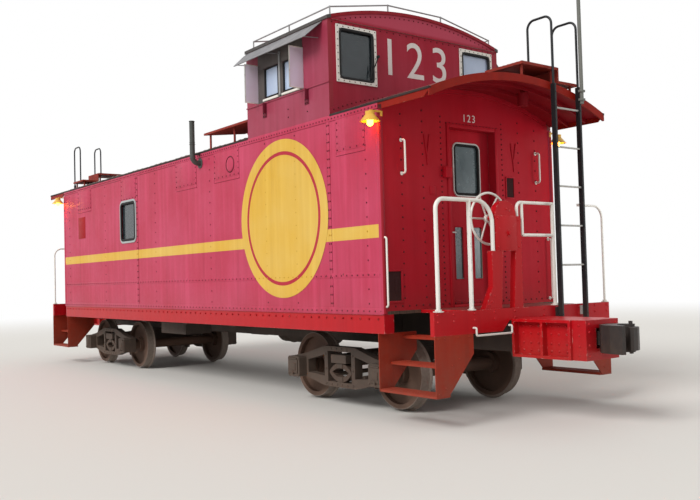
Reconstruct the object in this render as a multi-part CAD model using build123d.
# A steel cupola caboose on two four-wheel trucks, one closed solid or group of like solids a piece.
# X runs along the car towards its front platform, Y across it and Z up, in millimetres.
# The origin is on the ground under the middle of the car, where the wheel flanges stand.

from build123d import *
import math
import os

# Heights are counted from the rail top, which lies a flange depth above the ground
flange_depth = 27
rail_top = flange_depth

# Body shell
body_length = 10060
body_width = 2870
side_thickness = 60
end_thickness = 105
side_bottom = rail_top + 1130
floor_top = rail_top + 1166
side_top = rail_top + 3361
eave = rail_top + 3437
roof_rise = 300
roof_thickness = 45
corner_radius = 20
seam = 0.3

# Side windows, the same on both sides: middle from the front end wall, width, bottom, top
side_window_middle = 6810
side_window_width = 600
side_window_bottom = rail_top + 2290
side_window_top = rail_top + 2940
window_corner = 70
frame_width = 45
frame_thickness = 14
glass_thickness = 8
glass_inset = 18

# Cupola, flush with the body sides
cupola_near = 878
cupola_length = 1862
cupola_eave = rail_top + 4617
cupola_rise = 223
cupola_roof_thickness = 40
cupola_roof_lip = 15
cupola_window_width = 518
cupola_window_inset = 160
cupola_window_bottom = rail_top + 3892
cupola_window_top = rail_top + 4489
sash_bottom = rail_top + 3892
sash_top = rail_top + 4284
# Columns: middle from the front end wall, width
sash_table = (
    (2122, 334),
    (1660, 379),
)
wing_reach = 205
wing_bottom = rail_top + 3850
wing_top = rail_top + 4355
# Distances from the front end wall of the two glass wind wings on each side
wing_places = (1400, 2445)
wing_thickness = 8
awning_reach = 235
awning_drop = 245
awning_front_cut = 24
awning_rear_cut = 90
awning_thickness = 8
rail_height = 100
rail_radius = 9
rail_inset = 60
rail_side_inset = 85
rail_posts = 4

# Doors, hinged at the car's +Y side of the front doorway and opening inwards
door_opening = 756
door_height = 2084
door_lap = 20
door_thickness = 40
door_gap = 5
door_window_width = 430
door_window_bottom = rail_top + 2475
door_window_top = rail_top + 3095
light_width = 128
light_offset = 158
light_bottom = rail_top + 1490
light_top = rail_top + 2100
hinge_radius = 14
hinge_pin = 6
hinge_length = 60
hinge_edge = 15
pin_clearance = 0.3
hinge_play = 2
hinge_heights = (260, 1040, 1820)

# Platforms and canopies
sill_reach = 790
sill_thickness = 60
sill_bottom = rail_top + 925
sill_notch = 330
sill_notch_rise = 110
deck_half = 890
canopy_reach = 820
canopy_thickness = 35
fascia_depth = 85
fascia_thickness = 20
skirt_bottom = rail_top + 3350
skirt_thickness = 12
rib_depth = 40
rib_thickness = 25

# Steps. Columns of the table: tread top, outer edge from the car's middle, depth
step_inset = 100
step_plate = 10
step_foot = rail_top + 305
step_foot_inner = 1265
step_knee = rail_top + 720
tread_thickness = 25
tread_table = (
    (rail_top + 330, 1430, 200),
    (rail_top + 610, 1270, 200),
    (rail_top + 880, 1085, 195),
)

# Underframe
sill_beam_height = 205
sill_beam_inset = 10
sill_beam_width = 135
centre_sill_width = 330
centre_sill_bottom = rail_top + 680
bearer_width = 160
bearer_bottom = rail_top + 890
# Distances of the cross bearers from the middle of the car
bearer_places = (-1500, 0, 1500)
bolster_width = 360
bolster_inner_bottom = rail_top + 768
bolster_end_bottom = rail_top + 905
centre_plate_radius = 175
centre_plate_height = 40
king_pin_radius = 30
king_pin_length = 120

# Trucks and wheels
truck_centre = 3690
wheelbase = 1676
tread_radius = 419
wheel_middle = 752
wheel_width = 145
flange_width = 32
rim_depth = 60
plate_thickness = 26
hub_radius = 135
hub_width = 178
axle_radius = 82
journal_radius = 70
journal_clearance = 0.5
journal_end = 1115
frame_inner = 935
frame_depth = 115
box_outer = 1165
box_half = 130
frame_top = rail_top + 700
frame_foot = rail_top + 205
window_half = 240
window_bottom = rail_top + 265
window_top = rail_top + 640
spring_seat = rail_top + 500
bolster_half = 150
bolster_under_plate = 12
plate_well = 25
running_gap = 0.3
leaf_depth = 62
brake_gap = 8
shoe_thickness = 70
shoe_width = 84
shoe_angle = 34
brake_beam_radius = 28
brake_beam_offset = 330
brake_beam_height = rail_top + 330

# Draft gear and coupler
coupler_height = rail_top + 864
draft_box_half = 225
draft_flange_half = 300
draft_bottom = rail_top + 645
draft_top = rail_top + 1050
draft_flange = 30
draft_end = 1560
carrier_end = 1730
carrier_half = 265
pocket_half = 105
pocket_depth = 110
shank_half = 70
coupler_head_height = 280
knuckle_height = 230
knuckle_pin_radius = 20
knuckle_clearance = 1

# End fittings, each on the front end; heights above the rail top are added where they are used
ladder_stile_places = (465, 908)
ladder_setback = 30
stile_depth = 60
stile_width = 28
rung_radius = 11
rung_first = rail_top + 1620
rung_pitch = 449
rung_count = 5
ladder_top = rail_top + 3690
loop_radius = 14
loop_top = rail_top + 4480
loop_depth = 350
mast_radius = 22
mast_lap = 200
mast_top = rail_top + 5100
pipe_radius = 22
rail_bend = 110
rail_stand_bend = 240
rail_setback = 30
rail_top_height = rail_top + 2320
low_rail_height = rail_top + 1960
rail_left = -1345
rail_post = -870
gate_left = -45
gate_right = 475
corner_rail_inset = 40
stand_left = -500
stand_plate = 334
stand_post = 78
stand_top = rail_top + 2330
stand_waist = rail_top + 1785
stand_thickness = 70
stand_shoulder = 58
stand_flare = 190
stand_flare_height = 240
stand_leg_left = 115
stand_leg_right = 96
stand_lean = 45
brake_wheel_radius = 285
brake_wheel_middle = -330
brake_wheel_height = rail_top + 2150
brake_wheel_setback = 250
brake_rim_radius = 13
brake_spokes = 6
grab_inset = 316
grab_bottom = rail_top + 2673
grab_top = rail_top + 3041
grab_reach = 65
grab_radius = 11
grab_bend = 28
corner_grab_reach = 48
corner_grab_inset = 32
corner_grab_right_inset = 123
corner_grab_bottom = rail_top + 1215
corner_grab_top = rail_top + 1965
lever_bottom = rail_top + 905
lever_inner = 345
lever_outer = 885
lamp_height = rail_top + 3205
lamp_shade = 75
lamp_neck = 35
lamp_radius = 112
lamp_neck_radius = 50
lamp_sheet = 8
lamp_bulb_radius = 35
lamp_bulb_drop = 50
lamp_stand_off = 120
lamp_arm = 24
lamp_arm_depth = 18
lamp_arm_drop = 40
lamp_arm_inner = 45
lamp_arm_outer = 15
horn_place = 400
horn_radius = 62
horn_length = 150

# Roof fittings
board_thickness = 30
board_height = rail_top + 3900
landing_outer = 960
landing_inner = 620
landing_length = 560
board_tip_inset = 20
board_post_inset = 60
landing_height = rail_top + 3745
side_board_reach = 4050
side_board_inner = 950
side_board_inset = 30
side_board_slant = 400
side_board_height = rail_top + 3710
# Distances of the side boards' posts from the front end wall
side_post_places = (3260, 3960)
side_post_inset = 95
post_radius = 16
stove_place = 4120
stove_radius = 38
stove_height = rail_top + 3280
stove_stand_off = 125
stove_top = rail_top + 3895
stove_bend = 90

# Under the floor and inside the cupola
tank_radius = 190
tank_length = 1500
tank_middle = 620
tank_offset = 640
cylinder_radius = 155
cylinder_length = 480
cylinder_middle = -900
cylinder_offset = 620
box_size = (900, 460, 420)
box_middle = -750
box_inset = 305
seat_floor = rail_top + 2650
seat_depth = 620
seat_height = 430
seat_back = 560

# Derived planes
end_plane = body_length / 2
half_width = body_width / 2
inner_half = half_width - side_thickness
sill_plane = end_plane + sill_reach
cupola_front = end_plane - cupola_near
cupola_rear = cupola_front - cupola_length
awning_front = end_plane - 980
awning_rear = end_plane - 2765
axle_height = rail_top + tread_radius
side_sill_bottom = side_bottom - sill_beam_height


def block(x0, x1, y0, y1, z0, z1):
    """A box between two values along each axis."""
    middle = Pos((x0 + x1) / 2, (y0 + y1) / 2, (z0 + z1) / 2)
    return middle * Box(x1 - x0, y1 - y0, z1 - z0)


def outline(points):
    """A flat face inside a closed run of straight lines."""
    return make_face(Polyline(*points, close=True))


def along_x(face, x0, x1):
    """A section drawn as (y, z) and drawn out along X."""
    return extrude(Plane.YZ.offset(x0) * face, amount=x1 - x0)


def along_y(face, y0, y1):
    """A side view drawn as (x, z) and drawn out along Y."""
    plane = Plane(origin=(0, y0, 0), x_dir=(1, 0, 0), z_dir=(0, -1, 0))
    return extrude(plane * face, amount=y0 - y1)


def along_z(face, z0, z1):
    """A plan drawn as (x, y) and drawn out along Z."""
    return extrude(Plane.XY.offset(z0) * face, amount=z1 - z0)


def disc(radius, x, y, z, axis, length):
    """A round bar that starts at a point and runs along an axis."""
    return extrude(Plane(origin=(x, y, z), z_dir=axis) * Circle(radius), amount=length)


def pipe(points, radius, bend):
    """A round bar along straight runs, with one bend radius for all corners or one for each."""
    if len(points) > 2:
        path = FilletPolyline(*points, radius=bend)
    else:
        path = Line(*points)
    start = Plane(origin=path @ 0, z_dir=path % 0)
    return sweep(start * Circle(radius), path=path)


def both_sides(shape):
    """A piece and its mirror image on the other side of the car."""
    return Compound(children=[*solids_of(shape), *solids_of(mirror(shape, about=Plane.XZ))])


def solids_of(shape):
    """The solids in a shape, one by one."""
    return list(shape.solids())


def group(*shapes):
    """Like pieces that share a name and don't touch."""
    parts = []
    for shape in shapes:
        parts += solids_of(shape)
    return Compound(children=parts)


def turned(shape):
    """The same piece at the other end of the car."""
    return Rot(0, 0, 180) * shape


def arch_radius(half, rise):
    """The radius of an arch from its half span and its rise."""
    return (half * half + rise * rise) / (2 * rise)


def under_arch(half, base, rise, inset, x0, x1):
    """Everything that lies more than an inset below an arched roof."""
    radius = arch_radius(half, rise)
    middle = base + rise - radius
    return disc(radius - inset, x0, 0, middle, (1, 0, 0), x1 - x0)


def arched_plate(half, base, rise, thickness, x0, x1):
    """An arched roof sheet, cut off upright at both eaves."""
    outer = under_arch(half, base, rise, 0, x0, x1)
    inner = under_arch(half, base, rise, thickness, x0, x1)
    return (outer - inner) & block(x0, x1, -half, half, base - thickness, base + rise)


def rounded_pane(width, height, corner, middle_u, middle_v):
    """A rectangle with rounded corners around a middle point."""
    return Pos(middle_u, middle_v) * RectangleRounded(width, height, corner)


def shell():
    """The two sides and the roof between the end walls and round the cupola."""
    window_x = end_plane - side_window_middle
    window_height = side_window_top - side_window_bottom
    window_z = (side_window_top + side_window_bottom) / 2
    side = block(-end_plane, end_plane, inner_half, half_width, side_bottom, side_top)
    side = fillet(side.edges().filter_by(Axis.Z).group_by(Axis.Y)[-1], corner_radius)
    hole = rounded_pane(side_window_width, window_height, window_corner, window_x, window_z)
    side -= along_y(hole, inner_half - 1, half_width + 1)

    ring = rounded_pane(
        side_window_width + 2 * frame_width,
        window_height + 2 * frame_width,
        window_corner + frame_width,
        window_x,
        window_z,
    )
    frame = along_y(ring - hole, half_width, half_width + frame_thickness)
    pane = rounded_pane(
        side_window_width - 2 * seam, window_height - 2 * seam, window_corner, window_x, window_z
    )
    pane_y = half_width - glass_inset
    glass = along_y(pane, pane_y - glass_thickness, pane_y)

    roofs = []
    for x0, x1 in ((-end_plane, cupola_rear), (cupola_front, end_plane)):
        sheet = arched_plate(half_width, eave, roof_rise, roof_thickness, x0, x1)
        for sign in (-1, 1):
            y0, y1 = sorted((sign * inner_half, sign * half_width))
            sheet += block(x0, x1, y0, y1, side_top, eave) & under_arch(
                half_width, eave, roof_rise, 0, x0, x1
            )
        roofs.append(sheet)
    return {
        "side_wall_left": side,
        "side_wall_right": mirror(side, about=Plane.XZ),
        "window_frames": both_sides(frame),
        "window_glass": both_sides(glass),
        "roof": group(*roofs),
    }


def cupola():
    """The lookout on the roof: four walls, a roof, windows, wind wings and awnings."""
    radius_inset = cupola_roof_thickness + seam
    half = half_width + cupola_roof_lip
    x0 = cupola_rear
    x1 = cupola_front
    inside = under_arch(half, cupola_eave, cupola_rise, radius_inset, x0, x1)
    roof = arched_plate(
        half, cupola_eave, cupola_rise, cupola_roof_thickness, x0 - cupola_roof_lip, x1 + cupola_roof_lip
    )
    side = block(x0, x1, inner_half, half_width, side_top, cupola_eave + cupola_rise) & inside
    sash_z = (sash_bottom + sash_top) / 2
    sash_height = sash_top - sash_bottom
    frames = []
    panes = []
    for from_end, width in sash_table:
        x = end_plane - from_end
        hole = Pos(x, sash_z) * Rectangle(width, sash_height)
        side -= along_y(hole, inner_half - 1, half_width + 1)
        pane_y = half_width - glass_inset
        pane = Pos(x, sash_z) * Rectangle(width - 2 * seam, sash_height - 2 * seam)
        panes.append(along_y(pane, pane_y - glass_thickness, pane_y))

    below = under_arch(half_width, eave, roof_rise, roof_thickness, x0 - 1, x1 + 1)
    walls = {}
    window_y = half_width - cupola_window_inset - cupola_window_width / 2
    window_z = (cupola_window_bottom + cupola_window_top) / 2
    window_height = cupola_window_top - cupola_window_bottom
    for name, outside, inwards in (("front", x1, -1), ("rear", x0, 1)):
        xa, xb = sorted((outside, outside + inwards * side_thickness))
        wall = block(xa, xb, -inner_half, inner_half, side_top, cupola_eave + cupola_rise)
        wall = (wall & inside) - below
        for sign in (-1, 1):
            hole = Pos(sign * window_y, window_z) * Rectangle(cupola_window_width, window_height)
            wall -= along_x(hole, xa - 1, xb + 1)
            ring = (
                Pos(sign * window_y, window_z)
                * Rectangle(cupola_window_width + 2 * frame_width, window_height + 2 * frame_width)
                - hole
            )
            fa, fb = sorted((outside, outside - inwards * frame_thickness))
            frames.append(along_x(ring, fa, fb))
            pane = Pos(sign * window_y, window_z) * Rectangle(
                cupola_window_width - 2 * seam, window_height - 2 * seam
            )
            ga, gb = sorted(
                (outside + inwards * glass_inset, outside + inwards * (glass_inset + glass_thickness))
            )
            panes.append(along_x(pane, ga, gb))
        walls["cupola_wall_" + name] = wall

    wings = []
    for from_end in wing_places:
        x = end_plane - from_end
        wings.append(
            block(
                x - wing_thickness / 2,
                x + wing_thickness / 2,
                half_width,
                half_width + wing_reach,
                wing_bottom,
                wing_top,
            )
        )

    # The awning is a trapezium seen from above, cut from a sloping sheet
    top = cupola_eave - cupola_roof_thickness
    outer_y = half_width + awning_reach
    foot = cupola_eave - awning_drop
    slope = [
        (half_width, top - awning_thickness),
        (half_width, top),
        (outer_y, foot),
        (outer_y, foot - awning_thickness),
    ]
    awning_plan = [
        (awning_rear, half_width),
        (awning_front, half_width),
        (awning_front - awning_front_cut, outer_y),
        (awning_rear + awning_rear_cut, outer_y),
    ]
    sheet = along_x(outline(slope), x0, x1) & along_z(outline(awning_plan), foot - awning_drop, top)

    radius = arch_radius(half, cupola_rise)
    centre = cupola_eave + cupola_rise - radius
    rails = []
    rail_z = cupola_eave + rail_height
    rail_x0 = x0 + rail_inset
    rail_x1 = x1 - rail_inset
    rail_y = half_width - rail_side_inset
    corners = []
    for step in range(rail_posts):
        y = -rail_y + 2 * rail_y * step / (rail_posts - 1)
        corners.append((y, centre + math.sqrt(radius * radius - y * y)))
    for x in (rail_x0, rail_x1):
        for (ya, za), (yb, zb) in zip(corners, corners[1:]):
            rails.append(
                pipe([(x, ya, za + rail_height), (x, yb, zb + rail_height)], rail_radius, 0)
            )
        for y, z in corners:
            rails.append(disc(rail_radius, x, y, z, (0, 0, 1), rail_height + rail_radius))
    for y, z in (corners[0], corners[-1]):
        rails.append(
            pipe([(rail_x0, y, z + rail_height), (rail_x1, y, z + rail_height)], rail_radius, 0)
        )
        middle = (rail_x0 + rail_x1) / 2
        rails.append(disc(rail_radius, middle, y, z, (0, 0, 1), rail_height + rail_radius))
    handrail = rails[0]
    for piece in rails[1:]:
        handrail += piece
    handrail -= under_arch(half, cupola_eave, cupola_rise, 0, x0, x1)

    seat_x = (x0 + x1) / 2
    seat = block(x0 + 150, x1 - 150, 380, inner_half, seat_floor - 60, seat_floor)
    seat += block(
        seat_x - seat_depth / 2, seat_x + seat_depth / 2, 480, inner_half - 120, seat_floor, seat_floor + seat_height
    )
    seat += block(
        seat_x - 50, seat_x + 50, 480, inner_half - 120, seat_floor + seat_height, seat_floor + seat_height + seat_back
    )
    return {
        "cupola_side_left": side,
        "cupola_side_right": mirror(side, about=Plane.XZ),
        **walls,
        "cupola_roof": roof,
        "window_frames": group(*frames),
        "window_glass": group(*panes[2:], both_sides(group(*panes[:2]))),
        "wind_wings": both_sides(group(*wings)),
        "awnings": both_sides(sheet),
        "cupola_handrail": handrail,
        "cupola_seats": both_sides(seat),
    }


def underframe():
    """Floor, side sills, centre sill, cross bearers, body bolsters and what hangs below them."""
    floor = block(-end_plane, end_plane, -inner_half, inner_half, side_bottom, floor_top)
    sill_y = half_width - sill_beam_inset
    sill = block(
        -end_plane, end_plane, sill_y - sill_beam_width, sill_y, side_sill_bottom, side_bottom
    )
    half = centre_sill_width / 2
    centre_sill = block(
        -sill_plane + sill_thickness,
        sill_plane - sill_thickness,
        -half,
        half,
        centre_sill_bottom,
        side_bottom,
    )
    bearers = []
    for x in bearer_places:
        for sign in (-1, 1):
            y0, y1 = sorted((sign * half, sign * (sill_y - sill_beam_width)))
            bearers.append(
                block(x - bearer_width / 2, x + bearer_width / 2, y0, y1, bearer_bottom, side_bottom)
            )
    bolsters = []
    inner = sill_y - sill_beam_width
    for x in (-truck_centre, truck_centre):
        for sign in (-1, 1):
            plan = outline(
                [
                    (sign * half, bolster_inner_bottom),
                    (sign * inner, bolster_end_bottom),
                    (sign * inner, side_bottom),
                    (sign * half, side_bottom),
                ]
            )
            bolsters.append(along_x(plan, x - bolster_width / 2, x + bolster_width / 2))
    plate_bottom = centre_sill_bottom - centre_plate_height
    plates = []
    for x in (-truck_centre, truck_centre):
        plate = disc(centre_plate_radius, x, 0, plate_bottom, (0, 0, 1), centre_plate_height)
        plate += disc(
            king_pin_radius, x, 0, plate_bottom - king_pin_length, (0, 0, 1), king_pin_length
        )
        plates.append(plate)
    tank = disc(tank_radius, tank_middle - tank_length / 2, tank_offset, 0, (1, 0, 0), tank_length)
    tank = fillet(tank.edges(), 70)
    tank = Pos(0, 0, bearer_bottom - tank_radius - 10) * tank
    for x in (tank_middle - tank_length / 3, tank_middle + tank_length / 3):
        tank += block(
            x - 30, x + 30, tank_offset - 60, tank_offset + 60, bearer_bottom - 40, side_bottom
        )
    cylinder = disc(
        cylinder_radius, cylinder_middle - cylinder_length / 2, cylinder_offset, 0, (1, 0, 0), cylinder_length
    )
    cylinder += disc(35, cylinder_middle + cylinder_length / 2, cylinder_offset, 0, (1, 0, 0), 330)
    cylinder = Pos(0, 0, bearer_bottom - cylinder_radius) * cylinder
    cylinder += block(
        cylinder_middle - 90,
        cylinder_middle + 90,
        cylinder_offset - 70,
        cylinder_offset + 70,
        bearer_bottom - cylinder_radius / 2,
        side_bottom,
    )
    length, depth, height = box_size
    locker = block(
        box_middle - length / 2,
        box_middle + length / 2,
        box_inset - half_width,
        box_inset - half_width + depth,
        side_bottom - height,
        side_bottom,
    )
    return {
        "floor": floor,
        "side_sills": both_sides(sill),
        "centre_sill": centre_sill,
        "centre_plates": group(*plates),
        "cross_bearers": group(*bearers),
        "body_bolsters": group(*bolsters),
        "air_tank": tank,
        "brake_cylinder": cylinder,
        "battery_box": locker,
    }


def hinge_place():
    """Where a door's hinge pins stand: beside the leaf's edge, at its inner face."""
    leaf_edge = door_opening / 2 + door_lap
    return end_plane - end_thickness - door_gap - door_thickness, leaf_edge + hinge_edge


def end_wall_and_door():
    """An end wall with its doorway, and the door with its glass."""
    x1 = end_plane
    x0 = x1 - end_thickness
    half = door_opening / 2
    door_top = floor_top + door_height
    wall = block(x0, x1, -inner_half, inner_half, floor_top, eave + roof_rise)
    wall &= under_arch(half_width, eave, roof_rise, roof_thickness + seam, x0, x1)
    wall -= block(x0 - 1, x1 + 1, -half, half, floor_top, door_top)

    leaf_x1 = x0 - door_gap
    leaf_x0 = leaf_x1 - door_thickness
    leaf_half = half + door_lap
    leaf = block(
        leaf_x0, leaf_x1, -leaf_half, leaf_half, floor_top + door_gap, door_top + door_lap
    )
    panes = []
    # Columns: middle across the door, width, bottom, top, corner radius
    lights = (
        (0, door_window_width, door_window_bottom, door_window_top, window_corner),
        (-light_offset, light_width, light_bottom, light_top, frame_thickness),
        (light_offset, light_width, light_bottom, light_top, frame_thickness),
    )
    for middle, width, bottom, top, corner in lights:
        z = (bottom + top) / 2
        hole = rounded_pane(width, top - bottom, corner, middle, z)
        leaf -= along_x(hole, leaf_x0 - 1, leaf_x1 + 1)
        pane = rounded_pane(width - 2 * seam, top - bottom - 2 * seam, corner, middle, z)
        panes.append(along_x(pane, leaf_x0 + glass_inset, leaf_x0 + glass_inset + glass_thickness))

    pin_x, pin_y = hinge_place()
    for height in hinge_heights:
        z = floor_top + height
        knuckle = disc(hinge_radius, pin_x, pin_y, z, (0, 0, 1), hinge_length)
        knuckle += block(pin_x - 6, pin_x + 6, pin_y - 2 * hinge_edge, pin_y, z, z + hinge_length)
        knuckle -= disc(hinge_pin + pin_clearance, pin_x, pin_y, z, (0, 0, 1), hinge_length)
        leaf += knuckle
    return {"end_wall": wall, "door": leaf, "door_glass": group(*panes)}


def hinges():
    """The pins of the front door and the fixed knuckles that join them to the wall."""
    pin_x, pin_y = hinge_place()
    wall_x = end_plane - end_thickness
    gap = hinge_play
    pieces = []
    for height in hinge_heights:
        z = floor_top + height
        hinge = disc(hinge_pin, pin_x, pin_y, z - hinge_length, (0, 0, 1), 3 * hinge_length)
        for low in (z - hinge_length, z + hinge_length + gap):
            high = low + hinge_length - gap
            hinge += disc(hinge_radius, pin_x, pin_y, low, (0, 0, 1), high - low)
            hinge += block(pin_x, wall_x, pin_y - hinge_edge / 2, pin_y + 2 * hinge_edge, low, high)
        pieces.append(hinge)
    return group(*pieces)


def platform():
    """The platform's deck with its end sill, and the steps at its two corners."""
    deck = block(end_plane, sill_plane, -deck_half, deck_half, side_bottom, floor_top)
    sill = outline(
        [
            (-half_width, sill_bottom),
            (-sill_notch - sill_notch_rise, sill_bottom),
            (-sill_notch, sill_bottom + sill_notch_rise),
            (sill_notch, sill_bottom + sill_notch_rise),
            (sill_notch + sill_notch_rise, sill_bottom),
            (half_width, sill_bottom),
            (half_width, floor_top),
            (-half_width, floor_top),
        ]
    )
    deck += along_x(sill, sill_plane - sill_thickness, sill_plane)
    steps = None
    side_view = outline(
        [
            (half_width, sill_bottom),
            (half_width, step_foot),
            (step_foot_inner, step_foot),
            (deck_half, step_knee),
            (deck_half, sill_bottom),
        ]
    )
    inner_x = end_plane - step_inset
    outer_x = sill_plane - step_plate
    for x in (inner_x, outer_x):
        plate = along_x(side_view, x, x + step_plate)
        steps = plate if steps is None else steps + plate
    for top, outer, depth in tread_table:
        steps += block(inner_x, outer_x, outer - depth, outer, top - tread_thickness, top)
    return {"platforms": [deck], "steps": [both_sides(steps)]}


def canopy():
    """The arched roof over a platform with its fascia, ribs and side skirts."""
    x0 = end_plane
    x1 = end_plane + canopy_reach
    sheet = arched_plate(half_width, eave, roof_rise, canopy_thickness, x0, x1)
    ribs = (
        (x1 - fascia_thickness, fascia_thickness, fascia_depth),
        (x0 + canopy_reach / 3, rib_thickness, rib_depth + canopy_thickness),
        (x0 + 2 * canopy_reach / 3, rib_thickness, rib_depth + canopy_thickness),
    )
    for x, thickness, depth in ribs:
        sheet += arched_plate(half_width, eave, roof_rise, depth, x, x + thickness)
    slant = fascia_depth
    side_view = outline(
        [
            (x0 + 60, skirt_bottom),
            (x1 - slant, skirt_bottom),
            (x1, eave - canopy_thickness / 2),
            (x0 + 60, eave - canopy_thickness / 2),
        ]
    )
    skirt = along_y(side_view, half_width - skirt_thickness, half_width)
    sheet += skirt + mirror(skirt, about=Plane.XZ)
    return sheet


def draft_gear():
    """The ribbed box that carries the coupler, its head, the knuckle and its pin."""
    x0 = sill_plane
    x1 = end_plane + draft_end
    x2 = end_plane + carrier_end
    web = block(x0, x1, -draft_box_half, draft_box_half, draft_bottom, draft_top)
    for z in (draft_bottom, draft_top - draft_flange):
        web += block(x0, x1, -draft_flange_half, draft_flange_half, z, z + draft_flange)
    rib = draft_flange
    for x in (x0, (x0 + x1) / 2, x1 - rib):
        web += block(x, x + rib, -draft_flange_half, draft_flange_half, draft_bottom, draft_top)
    web += block(x1, x2, -carrier_half, carrier_half, draft_bottom, draft_top)
    web -= block(
        x2 - pocket_depth,
        x2,
        -pocket_half,
        pocket_half,
        coupler_height - pocket_half,
        coupler_height + pocket_half,
    )
    head_x = x2 + 20
    low = coupler_height - coupler_head_height / 2
    high = coupler_height + coupler_head_height / 2
    # The head in plan: guard arm on the left, lug for the knuckle on the right
    head = along_z(
        outline(
            [
                (head_x, -80),
                (head_x + 70, -155),
                (head_x + 200, -190),
                (head_x + 350, -205),
                (head_x + 362, -165),
                (head_x + 225, -95),
                (head_x + 165, -20),
                (head_x + 165, 60),
                (head_x + 240, 80),
                (head_x + 262, 130),
                (head_x + 240, 175),
                (head_x + 150, 185),
                (head_x + 60, 150),
                (head_x, 80),
            ]
        ),
        low,
        high,
    )
    knuckle_plan = outline(
        [
            (head_x + 178, 40),
            (head_x + 178, 112),
            (head_x + 215, 168),
            (head_x + 262, 178),
            (head_x + 318, 130),
            (head_x + 345, 60),
            (head_x + 345, -5),
            (head_x + 322, -28),
            (head_x + 292, -20),
            (head_x + 270, 45),
        ]
    )
    k0 = coupler_height - knuckle_height / 2
    k1 = coupler_height + knuckle_height / 2
    pin_x = head_x + 228
    pin_y = 118
    head -= block(
        head_x + 178 - knuckle_clearance,
        head_x + 400,
        20,
        200,
        k0 - knuckle_clearance,
        k1 + knuckle_clearance,
    )
    knuckle = along_z(knuckle_plan, k0, k1)
    pin = disc(knuckle_pin_radius, pin_x, pin_y, low - 15, (0, 0, 1), high - low + 45)
    head -= disc(knuckle_pin_radius + seam, pin_x, pin_y, low - 20, (0, 0, 1), high - low + 60)
    head += block(
        x2 - pocket_depth,
        head_x,
        -shank_half,
        shank_half,
        coupler_height - shank_half,
        coupler_height + shank_half,
    )
    return {"draft_gears": [web], "couplers": [head], "knuckles": [knuckle + pin]}


def ladder():
    """The end ladder with its rungs and the two hand loops that reach over the roof."""
    x1 = sill_plane + ladder_setback + stile_depth
    x0 = x1 - stile_depth
    first, last = ladder_stile_places
    pieces = []
    for y, landing in zip(ladder_stile_places, (board_height, landing_height)):
        pieces.append(block(x0, x1, y - stile_width / 2, y + stile_width / 2, sill_bottom + 80, ladder_top))
        pieces.append(block(sill_plane, x0, y - 30, y + 30, sill_bottom + 120, floor_top - 20))
        foot_x = x0 + stile_depth / 2 - loop_depth
        top = (x0 + stile_depth / 2, y)
        pieces.append(
            pipe(
                [
                    (*top, ladder_top - 100),
                    (*top, loop_top),
                    (foot_x, y, loop_top),
                    (foot_x, y, landing),
                ],
                loop_radius,
                100,
            )
        )
    for step in range(rung_count):
        z = rung_first + step * rung_pitch
        pieces.append(disc(rung_radius, x0 + stile_depth / 2, first, z, (0, 1, 0), last - first))
    whole = pieces[0]
    for piece in pieces[1:]:
        whole += piece
    return whole


def railing():
    """White pipe rails along the platform's outer edge."""
    x = sill_plane - rail_setback
    join_y = stand_left - pipe_radius
    post_y = stand_left + stand_plate + stand_post / 2
    post_top = stand_top - stand_plate / 2
    rails = [
        pipe(
            [
                (x, rail_left, floor_top),
                (x, rail_left, rail_top_height),
                (x, join_y, rail_top_height),
                (x, join_y, stand_waist),
            ],
            pipe_radius,
            [rail_bend, rail_stand_bend],
        ),
        block(x - 25, x + 25, rail_post - 8, rail_post + 8, floor_top, rail_top_height),
    ]
    rails.append(
        pipe(
            [
                (x, post_y, post_top),
                (x, post_y, rail_top_height),
                (x, gate_right, rail_top_height),
            ],
            pipe_radius * 0.8,
            0.6 * rail_bend,
        )
        + pipe([(x, gate_left, rail_top_height - 8), (x, gate_left, low_rail_height)], pipe_radius * 0.8, 0)
        + pipe([(x, gate_left, low_rail_height), (x, gate_right, low_rail_height)], pipe_radius * 0.8, 0)
        + pipe([(x, gate_right, floor_top), (x, gate_right, rail_top_height + 16)], pipe_radius, 0)
    )
    ladder_y = ladder_stile_places[1]
    ladder_x = sill_plane + ladder_setback
    rails.append(
        pipe(
            [
                (x, ladder_y + 30, rail_top_height),
                (x, half_width - corner_rail_inset, rail_top_height),
                (x, half_width - corner_rail_inset, floor_top),
            ],
            pipe_radius * 0.6,
            150,
        )
        + block(x, ladder_x, ladder_y + 14, ladder_y + 45, rail_top_height - 15, rail_top_height + 15)
    )
    return [rails[0] + rails[1], *rails[2:]]


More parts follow.
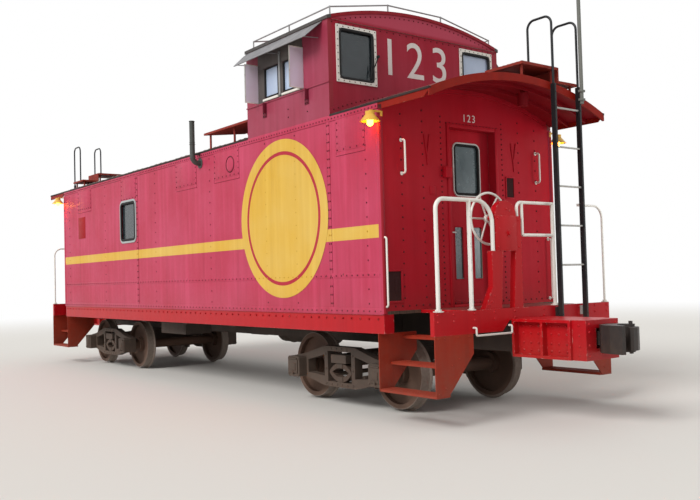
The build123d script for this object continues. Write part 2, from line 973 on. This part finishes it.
def brake_stand():
    """The hand brake: a stand on the platform and a spoked wheel on its shaft."""
    x1 = sill_plane - 10
    x0 = x1 - stand_thickness
    radius = stand_plate / 2
    middle = stand_left + radius
    right = stand_left + stand_plate + stand_post
    leg_left = stand_left + stand_leg_left
    leg_right = right - stand_leg_right
    # Two legs, the left one with a shoulder under the rail and a flared foot
    frame = outline(
        [
            (stand_left, stand_top - radius),
            (stand_left, stand_waist),
            (stand_left - stand_shoulder, stand_waist),
            (stand_left - stand_shoulder, floor_top + stand_flare_height),
            (stand_left - stand_flare, floor_top),
            (leg_left - stand_lean, floor_top),
            (leg_left, stand_waist),
            (leg_right, stand_waist),
            (leg_right - stand_lean, floor_top),
            (right, floor_top),
            (right, stand_top - radius),
        ]
    )
    stand = along_x(frame, x0, x1)
    stand += disc(radius, x0, middle, stand_top - radius, (1, 0, 0), stand_thickness)
    shaft_x = sill_plane - brake_wheel_setback
    stand += disc(
        28, shaft_x, brake_wheel_middle, brake_wheel_height, (1, 0, 0), brake_wheel_setback - stand_thickness
    )
    place = Pos(shaft_x, brake_wheel_middle, brake_wheel_height) * Rot(0, 90, 0)
    wheel = place * Torus(brake_wheel_radius, brake_rim_radius)
    wheel += disc(45, shaft_x - 40, brake_wheel_middle, brake_wheel_height, (1, 0, 0), 40)
    dish = 35
    for spoke in range(brake_spokes):
        angle = 2 * math.pi * (spoke + 0.5) / brake_spokes
        rim = (
            shaft_x,
            brake_wheel_middle + brake_wheel_radius * math.sin(angle),
            brake_wheel_height + brake_wheel_radius * math.cos(angle),
        )
        wheel += pipe([(shaft_x - dish, brake_wheel_middle, brake_wheel_height), rim], 10, 0)
    wheel -= block(shaft_x, shaft_x + 60, -60 + brake_wheel_middle, 60 + brake_wheel_middle,
                   brake_wheel_height - 60, brake_wheel_height + 60)
    return {"brake_stands": [stand], "brake_wheels": [wheel]}


def end_fittings():
    """Grab irons, uncoupling lever, marker lamps and horn of the front end."""
    irons = []
    # Columns: place across the car, bottom, top, reach
    for place, bottom, top, reach in (
        (grab_inset - half_width, grab_bottom, grab_top, grab_reach),
        (half_width - grab_inset, grab_bottom, grab_top, grab_reach),
        (corner_grab_inset - half_width, corner_grab_bottom, corner_grab_top, corner_grab_reach),
        (half_width - corner_grab_right_inset, corner_grab_bottom, corner_grab_top, corner_grab_reach),
    ):
        irons.append(
            pipe(
                [
                    (end_plane, place, bottom),
                    (end_plane + reach, place, bottom),
                    (end_plane + reach, place, top),
                    (end_plane, place, top),
                ],
                grab_radius,
                grab_bend,
            )
        )
    levers = []
    lever_x = sill_plane + 45
    for y0, y1 in ((-lever_outer, -lever_inner), (lever_inner, lever_outer)):
        levers.append(
            pipe(
                [
                    (sill_plane, y0, sill_bottom + 60),
                    (lever_x, y0, sill_bottom + 60),
                    (lever_x, y0, lever_bottom),
                    (lever_x, y1, lever_bottom),
                    (lever_x, y1, sill_bottom + 60),
                    (sill_plane, y1, sill_bottom + 60),
                ],
                grab_radius,
                15,
            )
        )
    lamps = []
    for sign in (-1, 1):
        y = sign * (half_width + lamp_stand_off)
        x = end_plane + lamp_arm / 2
        shade = Pos(x, y, lamp_height + lamp_shade / 2) * Cone(lamp_radius, lamp_neck_radius, lamp_shade)
        hollow = Cone(lamp_radius - lamp_sheet, lamp_neck_radius - lamp_sheet, lamp_shade)
        lamp = shade - Pos(x, y, lamp_height + lamp_shade / 2 - lamp_sheet) * hollow
        neck_low = lamp_height + lamp_shade
        neck_high = neck_low + lamp_neck
        lamp += disc(lamp_neck_radius, x, y, neck_low, (0, 0, 1), lamp_neck)
        bulb_low = lamp_height - lamp_bulb_drop + lamp_bulb_radius
        lamp += disc(lamp_bulb_radius, x, y, bulb_low, (0, 0, 1), neck_low - bulb_low)
        lamp += Pos(x, y, bulb_low) * Sphere(lamp_bulb_radius)
        # A flat arm from the corner post, over the lamp's neck
        y0, y1 = sorted((sign * (half_width - lamp_arm_inner), y))
        lamp += block(end_plane, end_plane + lamp_arm, y0, y1, neck_high, neck_high + lamp_arm_depth)
        y0, y1 = sorted((sign * (half_width - lamp_arm_inner), sign * (half_width - lamp_arm_outer)))
        lamp += block(end_plane, end_plane + lamp_arm, y0, y1, neck_high - lamp_arm_drop, neck_high + lamp_arm_depth)
        lamps.append(lamp)
    horn_x = end_plane + 0.55 * canopy_reach
    crown = eave + roof_rise - canopy_thickness
    horn = disc(horn_radius, horn_x, horn_place, crown - 60 - horn_length, (0, 0, 1), horn_length)
    horn += block(horn_x - 20, horn_x + 20, horn_place - 20, horn_place + 20, crown - 70, crown + 20)
    horn &= under_arch(half_width, eave, roof_rise, canopy_thickness + seam, end_plane, sill_plane)
    return {"grab_irons": irons, "uncoupling_levers": levers, "marker_lamps": lamps, "platform_lamps": [horn]}


def roof_fittings():
    """Running boards on the roof, the radio mast and the stove pipe."""
    under = under_arch(half_width, eave, roof_rise, 0, -2 * end_plane, 2 * end_plane)
    boards = []
    low = board_height - board_thickness
    tip = end_plane + canopy_reach - board_tip_inset
    back = tip - landing_length
    board = block(back, tip, 0, landing_inner, low, board_height)
    landing = landing_height - board_thickness
    board += block(back, tip, landing_inner, landing_outer, landing, landing_height)
    board += block(back, tip, landing_inner - 10, landing_inner + 10, landing, board_height)
    for x in (back + board_post_inset, tip - board_post_inset):
        for y in (board_post_inset, landing_inner - board_post_inset):
            board += disc(post_radius, x, y, eave, (0, 0, 1), low + 5 - eave)
        board += disc(post_radius, x, landing_outer - board_post_inset, eave, (0, 0, 1), landing + 5 - eave)
    board -= under
    boards += [board, turned(board)]
    side_x = end_plane - side_board_reach
    side_outer = half_width - side_board_inset
    side_plan = outline(
        [
            (cupola_rear, side_board_inner),
            (cupola_rear, side_outer),
            (side_x, side_outer),
            (side_x + side_board_slant, side_board_inner),
        ]
    )
    side_low = side_board_height - board_thickness
    side = along_z(side_plan, side_low, side_board_height)
    for place in side_post_places:
        x = end_plane - place
        side += disc(post_radius, x, half_width - side_post_inset, eave, (0, 0, 1), side_low + 5 - eave)
    side += disc(
        post_radius,
        cupola_rear - board_post_inset,
        side_board_inner + board_post_inset,
        eave,
        (0, 0, 1),
        side_low + 5 - eave,
    )
    side -= under
    boards.append(both_sides(side))
    stove_x = end_plane - stove_place
    stove_y = -half_width - stove_stand_off
    stove = pipe(
        [(stove_x, -half_width, stove_height), (stove_x, stove_y, stove_height), (stove_x, stove_y, stove_top)],
        stove_radius,
        stove_bend,
    )
    mast_y = ladder_stile_places[1]
    mast_x = sill_plane + ladder_setback + stile_depth + mast_radius
    mast_foot = ladder_top - mast_lap
    mast = disc(mast_radius, mast_x, mast_y, mast_foot, (0, 0, 1), mast_top - mast_foot)
    return {"roof_walks": group(*boards), "stove_pipe": stove, "radio_mast": mast}


def wheelset():
    """An axle with its two wheels and journals, about its own middle."""
    back = wheel_middle - wheel_width / 2 + 5
    face = back + wheel_width
    rim = tread_radius - rim_depth
    plate = (back + face) / 2
    # Radius against distance from the car's middle line, from the middle outwards
    profile = [
        (0, 0),
        (axle_radius, 0),
        (axle_radius, plate - hub_width / 2),
        (hub_radius, plate - hub_width / 2),
        (hub_radius, plate - plate_thickness / 2),
        (rim, plate - plate_thickness / 2),
        (rim, back),
        (tread_radius + flange_depth - 8, back),
        (tread_radius + flange_depth, back + flange_width / 3),
        (tread_radius + flange_depth - 4, back + 0.6 * flange_width),
        (tread_radius + 3, back + flange_width),
        (tread_radius, wheel_middle - 10),
        (tread_radius - 4, face),
        (rim, face),
        (rim, plate + plate_thickness / 2),
        (hub_radius, plate + plate_thickness / 2),
        (hub_radius, plate + hub_width / 2),
        (journal_radius + 18, plate + hub_width / 2),
        (journal_radius + 18, frame_inner - 20),
        (journal_radius, frame_inner - 20),
        (journal_radius, journal_end),
        (0, journal_end),
    ]
    half = revolve(Plane.XY * outline(profile), axis=Axis.Y, revolution_arc=360)
    return half + mirror(half, about=Plane.XZ)


def truck():
    """The cast side frames, bolster, leaf springs and brake beams about the truck's middle."""
    axle_x = wheelbase / 2
    span = axle_x + box_half
    frame_view = outline(
        [
            (-span, axle_height - box_half),
            (-span, axle_height + box_half),
            (-axle_x + box_half, axle_height + box_half + 40),
            (-window_half - 60, frame_top),
            (window_half + 60, frame_top),
            (axle_x - box_half, axle_height + box_half + 40),
            (span, axle_height + box_half),
            (span, axle_height - box_half),
            (axle_x - box_half, axle_height - box_half),
            (window_half + 80, frame_foot),
            (-window_half - 80, frame_foot),
            (-axle_x + box_half, axle_height - box_half),
        ]
    )
    window = Pos(0, (window_bottom + window_top) / 2) * Rectangle(
        2 * window_half, window_top - window_bottom
    )
    side = along_y(frame_view - window, frame_inner, frame_inner + frame_depth)
    for sign in (-1, 1):
        side -= along_y(
            outline(
                [
                    (sign * (window_half + 70), frame_foot + 120),
                    (sign * (window_half + 70), frame_top - 110),
                    (sign * (axle_x - box_half - 40), axle_height + box_half - 40),
                    (sign * (axle_x - box_half - 40), axle_height - box_half + 60),
                ]
            ),
            frame_inner,
            frame_inner + frame_depth,
        )
        box = block(
            sign * axle_x - box_half,
            sign * axle_x + box_half,
            frame_inner,
            box_outer,
            axle_height - box_half,
            axle_height + box_half,
        )
        box = fillet(box.edges().filter_by(Axis.Y), 35)
        side += box
    for sign in (-1, 1):
        bore = journal_end + 10 - frame_inner
        side -= disc(
            journal_radius + journal_clearance, sign * axle_x, frame_inner, axle_height, (0, 1, 0), bore
        )
    spring_low = window_bottom
    spring_rise = (spring_seat - spring_low) / 2
    spring_middle = (spring_seat + spring_low) / 2
    spring_half = window_half - 15
    lens = []
    for inset in (0, leaf_depth):
        rise = spring_rise - inset
        half = spring_half - inset
        top = ThreePointArc((-half, spring_middle), (0, spring_middle + rise), (half, spring_middle))
        low = ThreePointArc((half, spring_middle), (0, spring_middle - rise), (-half, spring_middle))
        lens.append(make_face(top + low))
    spring_y0 = frame_inner + 12
    spring_y1 = frame_inner + frame_depth - 12
    spring = along_y(lens[0] - lens[1], spring_y0, spring_y1)
    # The leaves are clamped between flat seats at the top and the bottom
    seat = 60
    for z0, z1 in ((spring_low, spring_low + leaf_depth), (spring_seat - leaf_depth, spring_seat)):
        spring += block(-seat, seat, spring_y0, spring_y1, z0, z1)

    end_y = frame_inner + frame_depth + 15
    plate_z = centre_sill_bottom - centre_plate_height
    bolster_top = plate_z - bolster_under_plate
    bolster = outline(
        [
            (-end_y, spring_seat),
            (-frame_inner + 120, spring_seat),
            (-500, spring_seat - 60),
            (500, spring_seat - 60),
            (frame_inner - 120, spring_seat),
            (end_y, spring_seat),
            (end_y, window_top - 40),
            (frame_inner - 120, window_top - 40),
            (500, bolster_top),
            (-500, bolster_top),
            (-frame_inner + 120, window_top - 40),
            (-end_y, window_top - 40),
        ]
    )
    beam = along_x(bolster, -bolster_half, bolster_half)
    beam += disc(centre_plate_radius + 45, 0, 0, bolster_top, (0, 0, 1), plate_z + plate_well - bolster_top)
    beam -= disc(centre_plate_radius + 2, 0, 0, plate_z - running_gap, (0, 0, 1), 2 * plate_well)
    beam -= disc(king_pin_radius + 2, 0, 0, plate_z - king_pin_length - 10, (0, 0, 1), king_pin_length + 40)

    brakes = []
    inner = tread_radius + brake_gap
    for sign in (-1, 1):
        x = sign * brake_beam_offset
        unit = disc(brake_beam_radius, x, -frame_inner, brake_beam_height, (0, 1, 0), 2 * frame_inner)
        for side_sign in (-1, 1):
            y0 = side_sign * (wheel_middle + 18) - shoe_width / 2 + side_sign * 8
            shoe = disc(inner + shoe_thickness, sign * axle_x, y0, axle_height, (0, 1, 0), shoe_width)
            shoe -= disc(inner, sign * axle_x, y0, axle_height, (0, 1, 0), shoe_width)
            reach = inner + shoe_thickness + 10
            drop = reach * math.tan(math.radians(shoe_angle / 2))
            tilt = math.degrees(math.atan2(axle_height - brake_beam_height, axle_x - brake_beam_offset))
            wedge = outline([(0, 0), (-reach, -drop), (-reach, drop)])
            slice_ = Rot(0, -tilt, 0) * along_y(wedge, y0, y0 + shoe_width)
            if sign < 0:
                slice_ = mirror(slice_, about=Plane.YZ)
            shoe &= Pos(sign * axle_x, 0, axle_height) * slice_
            unit += shoe
        brakes.append(unit)
    return {
        "side_frames": both_sides(side),
        "truck_bolster": beam,
        "springs": both_sides(spring),
        "brake_beams": group(*brakes),
    }


def build():
    """Every piece by its name."""
    body = shell()
    lookout = cupola()
    pieces = {**body, **lookout, **underframe(), **roof_fittings()}
    for name in ("window_frames", "window_glass"):
        pieces[name] = group(body[name], lookout[name])
    for name, shape in end_wall_and_door().items():
        pieces[name + "_front"] = shape
        pieces[name + "_rear"] = turned(shape)

    like_pieces = {
        "hinges": [hinges()],
        **platform(),
        "canopies": [canopy()],
        **draft_gear(),
        "ladders": [ladder()],
        "railings": railing(),
        **brake_stand(),
        **end_fittings(),
    }
    for name, shapes in like_pieces.items():
        pieces[name] = group(*shapes, *[turned(shape) for shape in shapes])

    truck_pieces = truck()
    wheels = wheelset()
    for end, place in (("front", truck_centre), ("rear", -truck_centre)):
        for name, shape in truck_pieces.items():
            pieces[name + "_" + end] = Pos(place, 0, 0) * shape
        for axle, offset in (("outer", wheelbase / 2), ("inner", -wheelbase / 2)):
            x = place + math.copysign(1, place) * offset
            pieces["wheelset_" + end + "_" + axle] = Pos(x, 0, axle_height) * wheels
    return pieces


os.makedirs("parts", exist_ok=True)
for node, solid in build().items():
    export_step(solid, "parts/" + node + ".step")
